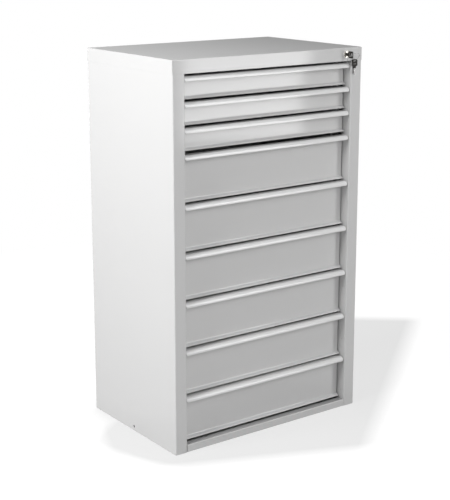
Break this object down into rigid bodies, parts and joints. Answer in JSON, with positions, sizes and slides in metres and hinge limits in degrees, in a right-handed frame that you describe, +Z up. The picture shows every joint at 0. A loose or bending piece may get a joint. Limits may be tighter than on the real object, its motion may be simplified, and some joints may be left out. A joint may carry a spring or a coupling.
{
  "type": "multi-drawer cabinet",
  "caption": "Floor-standing sheet-steel cabinet with shallow and deep drawers on telescopic runners, full-width hooked grips and one cylinder lock that blocks them all.",
  "frame": {"origin": "centre of the cabinet's base, on the floor; the keys that stand out in front aren't counted", "axes": "+Z up, +X to the right seen from the front, +Y from the drawer fronts to the back"},
  "size_m": [0.6, 0.4256, 1],
  "materials": {
    "casing_paint": "light grey powder coat, semi-gloss, fine orange peel",
    "front_paint": "light grey powder coat, semi-gloss, fine orange peel",
    "tray_paint": "light grey powder coat, satin",
    "frame_steel": "galvanised sheet, matt",
    "runner_steel": "bright zinc plate",
    "nickel": "polished nickel plate",
    "key_steel": "nickel-plated steel, satin",
    "key_plastic": "black moulded plastic",
    "guide_plastic": "natural nylon"
  },
  "bodies": {
    "casing": {"top_panel": "casing_paint", "side_panel_left": "casing_paint", "side_panel_right": "casing_paint", "back_panel": "casing_paint", "base_panel": "casing_paint", "bottom_rail": "casing_paint", "upright_front_left": "frame_steel", "upright_front_right": "frame_steel", "upright_rear_left": "frame_steel", "upright_rear_right": "frame_steel", "outer_runners_left": "runner_steel", "outer_runners_right": "runner_steel", "lock_housing": "nickel", "lock_nut": "runner_steel", "lock_bar_guides": "guide_plastic", "pan_screws": "runner_steel"},
    "lock_plug": {"lock_plug": "nickel", "lock_cam": "runner_steel"},
    "lock_bar": {"lock_bar": "frame_steel"},
    "lock_key": {"lock_key_bow": "key_plastic", "lock_key_blade": "key_steel"},
    "key_ring": {"key_ring": "key_steel"},
    "spare_key": {"spare_key_bow": "key_plastic", "spare_key_blade": "key_steel"},
    "drawer_1": {"drawer_1_front": "front_paint", "drawer_1_tray": "tray_paint", "drawer_1_inner_runners": "runner_steel"},
    "mid_runners_1": {"drawer_1_mid_runners": "runner_steel"},
    "drawer_2": {"drawer_2_front": "front_paint", "drawer_2_tray": "tray_paint", "drawer_2_inner_runners": "runner_steel"},
    "mid_runners_2": {"drawer_2_mid_runners": "runner_steel"},
    "drawer_3": {"drawer_3_front": "front_paint", "drawer_3_tray": "tray_paint", "drawer_3_inner_runners": "runner_steel"},
    "mid_runners_3": {"drawer_3_mid_runners": "runner_steel"},
    "drawer_4": {"drawer_4_front": "front_paint", "drawer_4_tray": "tray_paint", "drawer_4_inner_runners": "runner_steel"},
    "mid_runners_4": {"drawer_4_mid_runners": "runner_steel"},
    "drawer_5": {"drawer_5_front": "front_paint", "drawer_5_tray": "tray_paint", "drawer_5_inner_runners": "runner_steel"},
    "mid_runners_5": {"drawer_5_mid_runners": "runner_steel"},
    "drawer_6": {"drawer_6_front": "front_paint", "drawer_6_tray": "tray_paint", "drawer_6_inner_runners": "runner_steel"},
    "mid_runners_6": {"drawer_6_mid_runners": "runner_steel"},
    "drawer_7": {"drawer_7_front": "front_paint", "drawer_7_tray": "tray_paint", "drawer_7_inner_runners": "runner_steel"},
    "mid_runners_7": {"drawer_7_mid_runners": "runner_steel"},
    "drawer_8": {"drawer_8_front": "front_paint", "drawer_8_tray": "tray_paint", "drawer_8_inner_runners": "runner_steel"},
    "mid_runners_8": {"drawer_8_mid_runners": "runner_steel"},
    "drawer_9": {"drawer_9_front": "front_paint", "drawer_9_tray": "tray_paint", "drawer_9_inner_runners": "runner_steel"},
    "mid_runners_9": {"drawer_9_mid_runners": "runner_steel"}
  },
  "joints": [
    {"name": "drawer_1_slide", "type": "slide", "parent": "casing", "child": "drawer_1", "axis": [0, -1, 0], "range_m": [0, 0.34]},
    {"name": "mid_runners_1_slide", "type": "slide", "parent": "casing", "child": "mid_runners_1", "axis": [0, -1, 0], "range_m": [0, 0.17]},
    {"name": "drawer_2_slide", "type": "slide", "parent": "casing", "child": "drawer_2", "axis": [0, -1, 0], "range_m": [0, 0.34]},
    {"name": "mid_runners_2_slide", "type": "slide", "parent": "casing", "child": "mid_runners_2", "axis": [0, -1, 0], "range_m": [0, 0.17]},
    {"name": "drawer_3_slide", "type": "slide", "parent": "casing", "child": "drawer_3", "axis": [0, -1, 0], "range_m": [0, 0.34]},
    {"name": "mid_runners_3_slide", "type": "slide", "parent": "casing", "child": "mid_runners_3", "axis": [0, -1, 0], "range_m": [0, 0.17]},
    {"name": "drawer_4_slide", "type": "slide", "parent": "casing", "child": "drawer_4", "axis": [0, -1, 0], "range_m": [0, 0.34]},
    {"name": "mid_runners_4_slide", "type": "slide", "parent": "casing", "child": "mid_runners_4", "axis": [0, -1, 0], "range_m": [0, 0.17]},
    {"name": "drawer_5_slide", "type": "slide", "parent": "casing", "child": "drawer_5", "axis": [0, -1, 0], "range_m": [0, 0.34]},
    {"name": "mid_runners_5_slide", "type": "slide", "parent": "casing", "child": "mid_runners_5", "axis": [0, -1, 0], "range_m": [0, 0.17]},
    {"name": "drawer_6_slide", "type": "slide", "parent": "casing", "child": "drawer_6", "axis": [0, -1, 0], "range_m": [0, 0.34]},
    {"name": "mid_runners_6_slide", "type": "slide", "parent": "casing", "child": "mid_runners_6", "axis": [0, -1, 0], "range_m": [0, 0.17]},
    {"name": "drawer_7_slide", "type": "slide", "parent": "casing", "child": "drawer_7", "axis": [0, -1, 0], "range_m": [0, 0.34]},
    {"name": "mid_runners_7_slide", "type": "slide", "parent": "casing", "child": "mid_runners_7", "axis": [0, -1, 0], "range_m": [0, 0.17]},
    {"name": "drawer_8_slide", "type": "slide", "parent": "casing", "child": "drawer_8", "axis": [0, -1, 0], "range_m": [0, 0.34]},
    {"name": "mid_runners_8_slide", "type": "slide", "parent": "casing", "child": "mid_runners_8", "axis": [0, -1, 0], "range_m": [0, 0.17]},
    {"name": "drawer_9_slide", "type": "slide", "parent": "casing", "child": "drawer_9", "axis": [0, -1, 0], "range_m": [0, 0.34]},
    {"name": "mid_runners_9_slide", "type": "slide", "parent": "casing", "child": "mid_runners_9", "axis": [0, -1, 0], "range_m": [0, 0.17]},
    {"name": "lock_turn", "type": "hinge", "parent": "casing", "child": "lock_plug", "pos_m": [0.2465, -0.2, 0.9825], "axis": [0, 1, 0], "range_deg": [0, 90]},
    {"name": "lock_bar_slide", "type": "slide", "parent": "casing", "child": "lock_bar", "axis": [0, 0, -1], "range_m": [0, 0.00848]},
    {"name": "key_withdraw", "type": "slide", "parent": "lock_plug", "child": "lock_key", "axis": [0, -1, 0], "range_m": [0, 0.025]},
    {"name": "key_ring_swing", "type": "hinge", "parent": "lock_key", "child": "key_ring", "pos_m": [0.2465, -0.2215, 0.9825], "axis": [0.6956, -0.4917, 0.5238], "range_deg": [-80, 0]},
    {"name": "spare_key_swing", "type": "hinge", "parent": "key_ring", "child": "spare_key", "pos_m": [0.272, -0.2046, 0.9645], "axis": [0.6956, -0.4917, 0.5238], "range_deg": [-30, 0]}
  ],
  "couplings": [
    {"joint": "mid_runners_1_slide", "follows": "drawer_1_slide", "ratio": 0.5},
    {"joint": "mid_runners_2_slide", "follows": "drawer_2_slide", "ratio": 0.5},
    {"joint": "mid_runners_3_slide", "follows": "drawer_3_slide", "ratio": 0.5},
    {"joint": "mid_runners_4_slide", "follows": "drawer_4_slide", "ratio": 0.5},
    {"joint": "mid_runners_5_slide", "follows": "drawer_5_slide", "ratio": 0.5},
    {"joint": "mid_runners_6_slide", "follows": "drawer_6_slide", "ratio": 0.5},
    {"joint": "mid_runners_7_slide", "follows": "drawer_7_slide", "ratio": 0.5},
    {"joint": "mid_runners_8_slide", "follows": "drawer_8_slide", "ratio": 0.5},
    {"joint": "mid_runners_9_slide", "follows": "drawer_9_slide", "ratio": 0.5},
    {"joint": "lock_turn", "follows": "lock_bar_slide", "rad_per_m": 185.12}
  ]
}
